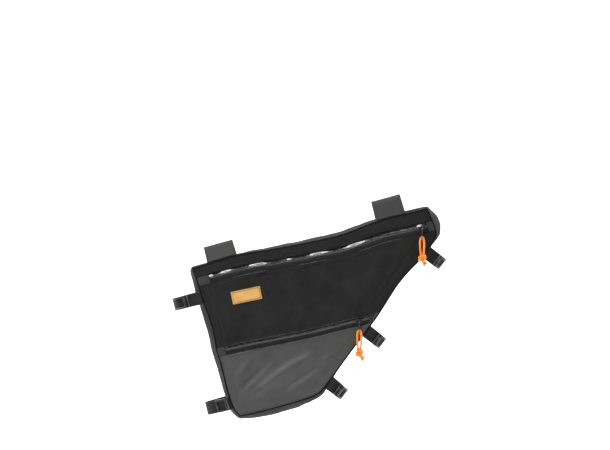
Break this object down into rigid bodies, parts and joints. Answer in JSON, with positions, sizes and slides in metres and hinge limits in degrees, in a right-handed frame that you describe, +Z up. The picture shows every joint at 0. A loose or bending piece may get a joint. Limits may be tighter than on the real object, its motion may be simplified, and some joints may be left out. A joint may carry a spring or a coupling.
{
  "type": "bicycle frame bag",
  "caption": "Slim triangular bicycle frame bag with zipped compartments, wide top straps, narrow webbing straps and knotted cord pulls, held in the shape it has when strapped on.",
  "frame": {"origin": "on the axis of the two top straps' loops, midway between the straps", "axes": "+X forward along the bag, with its top edge rising 15.2 degrees towards +X; +Y from the zipped side to the plain side; +Z up"},
  "size_m": [0.4886, 0.0841, 0.4014],
  "materials": {
    "fabric_black": "fine woven coated fabric, matt",
    "fabric_grey": "coated fabric, slight sheen",
    "piping": "corded seam binding",
    "label_amber": "woven patch with a stitched edge",
    "zip_tape": "film-coated zip tape, glossy",
    "tab_grey": "matt fabric",
    "slider_metal": "black lacquer, satin",
    "cord_orange": "braided cord",
    "strap_grey": "smooth laminated strap",
    "webbing": "flat webbing",
    "plastic": "moulded, satin"
  },
  "bodies": {
    "root": {"near_panel_top": "fabric_black", "near_panel_main": "fabric_black", "near_panel_pocket": "fabric_grey", "far_panel": "fabric_black", "gusset": "fabric_black", "near_piping": "piping", "far_piping": "piping", "label_patch": "label_amber", "upper_zip_tape": "zip_tape", "upper_zip_tab_rear": "tab_grey", "upper_zip_tab_front": "tab_grey", "upper_slider": "slider_metal", "upper_pull_loop": "slider_metal", "upper_pull_cord": "cord_orange", "upper_pull_knot": "cord_orange", "lower_zip_tape": "zip_tape", "lower_zip_tab_rear": "tab_grey", "lower_zip_tab_front": "tab_grey", "lower_slider": "slider_metal", "lower_pull_loop": "slider_metal", "lower_pull_cord": "cord_orange", "lower_pull_knot": "cord_orange", "top_strap_rear": "strap_grey", "top_strap_front": "strap_grey", "seat_strap_upper": "webbing", "seat_strap_lower": "webbing", "down_strap_upper": "webbing", "down_strap_middle": "webbing", "down_strap_lower": "webbing", "seat_buckle_upper": "plastic", "seat_buckle_lower": "plastic", "down_buckle_upper": "plastic", "down_buckle_middle": "plastic", "down_buckle_lower": "plastic"}
  },
  "joints": []
}
